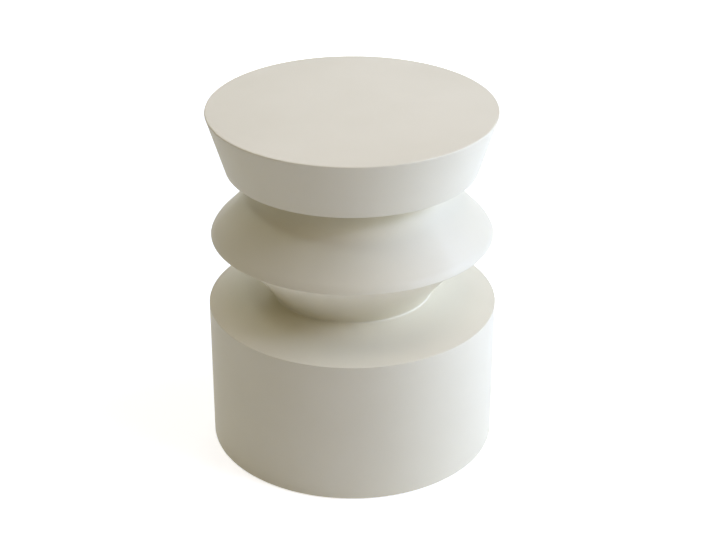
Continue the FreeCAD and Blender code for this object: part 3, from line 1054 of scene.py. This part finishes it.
class SIDETABLE_OT_glides(Step, bpy.types.Operator):
    """Mould the four round glides, with softened feet and a recess for each screw"""

    bl_idname = "side_table.glides"
    bl_label = "Glides"

    def execute(self, context):
        top = highest("glides")
        corners = [
            place(GLIDE_HOLE, GLIDE_RECESS_HEIGHT),
            place(GLIDE_RECESS_RADIUS, GLIDE_RECESS_HEIGHT),
            (place(GLIDE_RECESS_RADIUS, 0.0), GLIDE_MOUTH_ROUNDING),
            (place(GLIDE_RADIUS, 0.0), GLIDE_FOOT_ROUNDING),
            (place(GLIDE_RADIUS, top), GLIDE_TOP_ROUNDING),
            place(GLIDE_HOLE, top),
        ]
        pad = turned(corners, HARDWARE_TURN, HARDWARE_ARC)
        repeat_at(pad, corner_places("glides", GLIDE_RADIUS))
        finish_piece(to_object("moulded_glides", pad), "glides", "moulded_nylon")
        return {"FINISHED"}


class SIDETABLE_OT_screws(Step, bpy.types.Operator):
    """Make the screws that show from below, with domed or flat heads and cross recesses"""

    bl_idname = "side_table.screws"
    bl_label = "Screws"

    def execute(self, context):
        head = lowest("glide_screws")
        tip = highest("glide_screws")
        pan = [
            place(0.0, head),
            (place(PAN_HEAD_RADIUS, head), PAN_HEAD_ROUNDING),
            place(PAN_HEAD_RADIUS, head + PAN_HEAD_HEIGHT),
            place(PAN_SHANK_RADIUS, head + PAN_HEAD_HEIGHT),
            place(PAN_SHANK_RADIUS, tip - PAN_POINT),
            place(0.0, tip),
        ]
        make_screws("pan_head_screws", "glide_screws", pan, PAN_RECESS, PAN_HEAD_RADIUS)

        head = lowest("base_screws")
        tip = highest("base_screws")
        flat = [
            place(0.0, head),
            (place(FLAT_HEAD_RADIUS, head), FLAT_HEAD_ROUNDING),
            place(FLAT_SHANK_RADIUS, head + FLAT_HEAD_HEIGHT),
            place(FLAT_SHANK_RADIUS, tip - FLAT_POINT),
            place(0.0, tip),
        ]
        make_screws("countersunk_screws", "base_screws", flat, FLAT_RECESS, FLAT_HEAD_RADIUS)
        return {"FINISHED"}


class SIDETABLE_OT_rod_nut(Step, bpy.types.Operator):
    """Make the hexagon nut, with its corners chamfered at both faces"""

    bl_idname = "side_table.rod_nut"
    bl_label = "Rod Nut"

    def execute(self, context):
        bottom = lowest("rod_nut")
        top = highest("rod_nut")
        hexagon_radius = widest("rod_nut")
        corner = hexagon_radius + NUT_CORNER_PLAY
        bore = widest("tie_rod") + NUT_BORE_PLAY
        corners = [
            place(bore, bottom + NUT_BORE_CHAMFER),
            place(bore + NUT_BORE_CHAMFER, bottom),
            place(NUT_FACE_RADIUS, bottom),
            place(corner, bottom + NUT_CORNER_CHAMFER),
            place(corner, top - NUT_CORNER_CHAMFER),
            place(NUT_FACE_RADIUS, top),
            place(bore + NUT_BORE_CHAMFER, top),
            place(bore, top - NUT_BORE_CHAMFER),
        ]
        piece = to_object("chamfered_nut", turned(corners, HARDWARE_TURN, HARDWARE_ARC))
        middle = Matrix.Translation((0.0, 0.0, (top + bottom) / 2))
        mesh = bmesh.new()
        bmesh.ops.create_cone(
            mesh, cap_ends=True, segments=6, radius1=hexagon_radius, radius2=hexagon_radius,
            depth=(top - bottom) * NUT_HEXAGON_SHARE,
            matrix=middle @ Matrix.Rotation(math.radians(30.0), 4, "Z"))
        combine(piece, to_object("hexagon", mesh), "INTERSECT")
        finish_piece(piece, "rod_nut", "bright_zinc")
        return {"FINISHED"}


def light_world():
    """Set a backdrop that is white where it is seen and sends no light elsewhere."""
    world = bpy.data.worlds.new("Studio")
    world.use_nodes = True
    tree = world.node_tree
    tree.nodes.clear()
    white = put(tree, "ShaderNodeBackground")
    white.inputs["Color"].default_value = WHITE
    output = put(tree, "ShaderNodeOutputWorld")
    join(tree, seen_rays(tree), white.inputs["Strength"])
    join(tree, white.outputs["Background"], output.inputs["Surface"])
    bpy.context.scene.world = world


def hang_lamp(name, bearing, height, width, watts, colour, middle):
    """Hang a square soft lamp that faces the table's middle."""
    lamp = bpy.data.lights.new(name, "AREA")
    lamp.shape = "SQUARE"
    lamp.size = width
    lamp.energy = watts
    lamp.color = colour
    turn = math.radians(bearing)
    rise = math.radians(height)
    away = Vector((math.sin(turn) * math.cos(rise), -math.cos(turn) * math.cos(rise), math.sin(rise)))
    holder = bpy.data.objects.new(name, lamp)
    holder.location = middle + away * LAMP_DISTANCE
    holder.rotation_euler = away.to_track_quat("Z", "Y").to_euler()
    holder.visible_camera = False
    bpy.context.scene.collection.objects.link(holder)


class SIDETABLE_OT_studio(Step, bpy.types.Operator):
    """Lay the pale floor, hang the lamps and set up the camera"""

    bl_idname = "side_table.studio"
    bl_label = "Studio"

    def execute(self, context):
        studio = context.scene.studio_setup
        mesh = bmesh.new()
        bmesh.ops.create_grid(mesh, x_segments=1, y_segments=1, size=studio.floor_size / 2)
        floor = to_object("floor", mesh)
        floor.data.materials.append(finish("floor_paint"))
        light_world()
        middle = place(0.0, highest("top_board") / 2)
        for lamp in LAMPS:
            hang_lamp(*lamp, middle)
        lens = bpy.data.cameras.new("Camera")
        lens.lens = studio.lens
        lens.sensor_width = SENSOR_WIDTH
        camera = bpy.data.objects.new("Camera", lens)
        camera.location = studio.camera_place
        camera.rotation_euler = (math.pi / 2 - studio.camera_tilt, 0.0, -studio.camera_pan)
        context.scene.collection.objects.link(camera)
        context.scene.camera = camera
        context.scene.view_settings.view_transform = "Standard"
        return {"FINISHED"}


class SIDETABLE_PT_panel(bpy.types.Panel):
    """Lists the table's settings and the steps that make it"""

    bl_idname = "SIDETABLE_PT_panel"
    bl_label = "Side Table"
    bl_space_type = "VIEW_3D"
    bl_region_type = "UI"
    bl_category = "Side Table"

    def draw(self, context):
        for group in ("table_form", "lacquer_finish", "studio_setup"):
            box = self.layout.box()
            values = getattr(context.scene, group)
            for name in values.__annotations__:
                box.prop(values, name)
        for step in STEPS:
            self.layout.operator(step.bl_idname)


GROUPS = {"table_form": TableForm, "lacquer_finish": LacquerFinish, "studio_setup": StudioSetup}

STEPS = [
    SIDETABLE_OT_top_board,
    SIDETABLE_OT_top_side_ring,
    SIDETABLE_OT_under_board,
    SIDETABLE_OT_upper_bowl,
    SIDETABLE_OT_lower_bowl,
    SIDETABLE_OT_shoulder_board,
    SIDETABLE_OT_drum_wall,
    SIDETABLE_OT_inner_parts,
    SIDETABLE_OT_glides,
    SIDETABLE_OT_screws,
    SIDETABLE_OT_rod_nut,
    SIDETABLE_OT_studio,
]


def register():
    """Register the add-on's classes and its settings."""
    for name, group in GROUPS.items():
        bpy.utils.register_class(group)
        setattr(bpy.types.Scene, name, bpy.props.PointerProperty(type=group))
    for step in STEPS:
        bpy.utils.register_class(step)
    bpy.utils.register_class(SIDETABLE_PT_panel)


def unregister():
    """Take the add-on's classes and settings away again."""
    bpy.utils.unregister_class(SIDETABLE_PT_panel)
    for step in reversed(STEPS):
        bpy.utils.unregister_class(step)
    for name, group in GROUPS.items():
        delattr(bpy.types.Scene, name)
        bpy.utils.unregister_class(group)


def main():
    """Make the table's pieces and the studio."""
    register()
    for step in STEPS:
        group, name = step.bl_idname.split(".")
        getattr(getattr(bpy.ops, group), name)()


if __name__ == "__main__":
    main()
